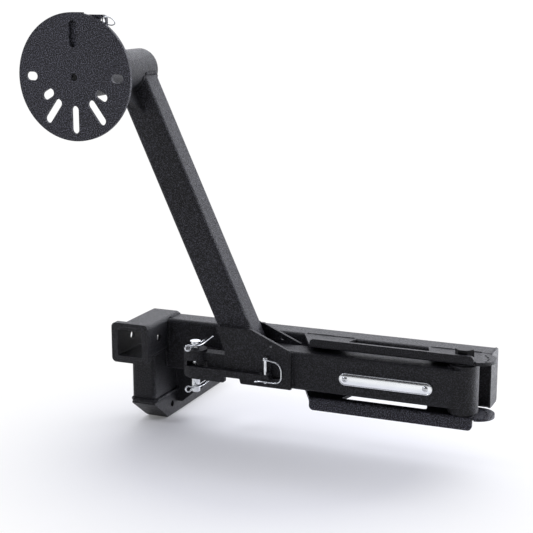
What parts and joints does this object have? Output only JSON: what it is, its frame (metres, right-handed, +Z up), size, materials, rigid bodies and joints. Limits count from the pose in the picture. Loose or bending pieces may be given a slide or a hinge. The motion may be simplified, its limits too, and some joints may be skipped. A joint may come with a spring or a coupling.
{
  "type": "spare tire carrier",
  "caption": "Swing-away spare tire carrier: hitch shank, drop tube and cross tube, with a hinged arm whose leaning post holds a slotted wheel plate, and an extra receiver.",
  "frame": {"origin": "Centre of the hitch pin hole in the shank that goes into the vehicle's receiver.", "axes": "+X runs along the cross tube towards the hinge, +Y along the shank towards the towing vehicle, +Z up."},
  "size_m": [0.8107, 0.5312, 0.8058],
  "materials": {
    "powder_coat": "textured black powder coat on steel",
    "black_hardware": "black oxide steel fasteners",
    "zinc_steel": "bright zinc plated steel",
    "chrome": "polished chrome trim bar",
    "bronze": "plain oiled bronze"
  },
  "bodies": {
    "frame": {"shank_tube": "powder_coat", "shank_nose_plate": "powder_coat", "drop_tube": "powder_coat", "receiver_tube": "powder_coat", "receiver_collar": "powder_coat", "cross_tube": "powder_coat", "cross_tube_end_cap": "powder_coat", "rear_frame_gusset": "powder_coat", "upper_hinge_plate": "powder_coat", "lower_hinge_plate": "powder_coat", "catch_lug": "powder_coat", "hinge_bolt": "black_hardware", "hinge_lock_nut": "black_hardware", "hinge_bolt_washers": "black_hardware", "thrust_washers": "black_hardware"},
    "arm": {"swing_arm_tube": "powder_coat", "hinge_barrel": "powder_coat", "hinge_bushes": "bronze", "front_side_plate": "powder_coat", "rear_side_plate": "powder_coat", "latch_tongue": "powder_coat", "latch_knuckle": "powder_coat", "latch_pin": "zinc_steel", "lever_keeper": "powder_coat", "post_tube": "powder_coat", "spacer_tube": "powder_coat", "post_rib": "powder_coat", "wheel_disc": "powder_coat", "accessory_plate": "powder_coat", "badge_bar": "chrome", "badge_screws": "zinc_steel"},
    "lever": {"latch_lever": "powder_coat"},
    "snap_pin": {"lever_snap_pin": "zinc_steel"},
    "snap_bail": {"lever_snap_bail": "zinc_steel"},
    "upper_clip": {"upper_hairpin_clip": "zinc_steel"},
    "lower_clip": {"lower_hairpin_clip": "zinc_steel"},
    "ring": {"tether_ring": "zinc_steel"}
  },
  "joints": [
    {"name": "arm_swing", "type": "hinge", "parent": "frame", "child": "arm", "pos_m": [0.637, -0.202, 0.13], "axis": [0, 0, 1], "range_deg": [0, 120]},
    {"name": "lever_swing", "type": "hinge", "parent": "arm", "child": "lever", "pos_m": [0.124, -0.2304, 0.1093], "axis": [0, 0, -1], "range_deg": [0, 120]},
    {"name": "snap_pin_pull", "type": "slide", "parent": "lever", "child": "snap_pin", "axis": [0, 0, 1], "range_m": [0, 0.03]},
    {"name": "snap_bail_flip", "type": "hinge", "parent": "snap_pin", "child": "snap_bail", "pos_m": [0.275, -0.254, 0.152], "axis": [0, -1, 0], "range_deg": [0, 100]},
    {"name": "upper_clip_pull", "type": "slide", "parent": "arm", "child": "upper_clip", "axis": [0, -1, 0], "range_m": [0, 0.07]},
    {"name": "lower_clip_pull", "type": "slide", "parent": "arm", "child": "lower_clip", "axis": [0, -1, 0], "range_m": [0, 0.07]},
    {"name": "ring_tilt", "type": "hinge", "parent": "arm", "child": "ring", "pos_m": [0.0568, -0.41147, 0.76615], "axis": [1, 0, 0], "range_deg": [-8, 8]}
  ]
}
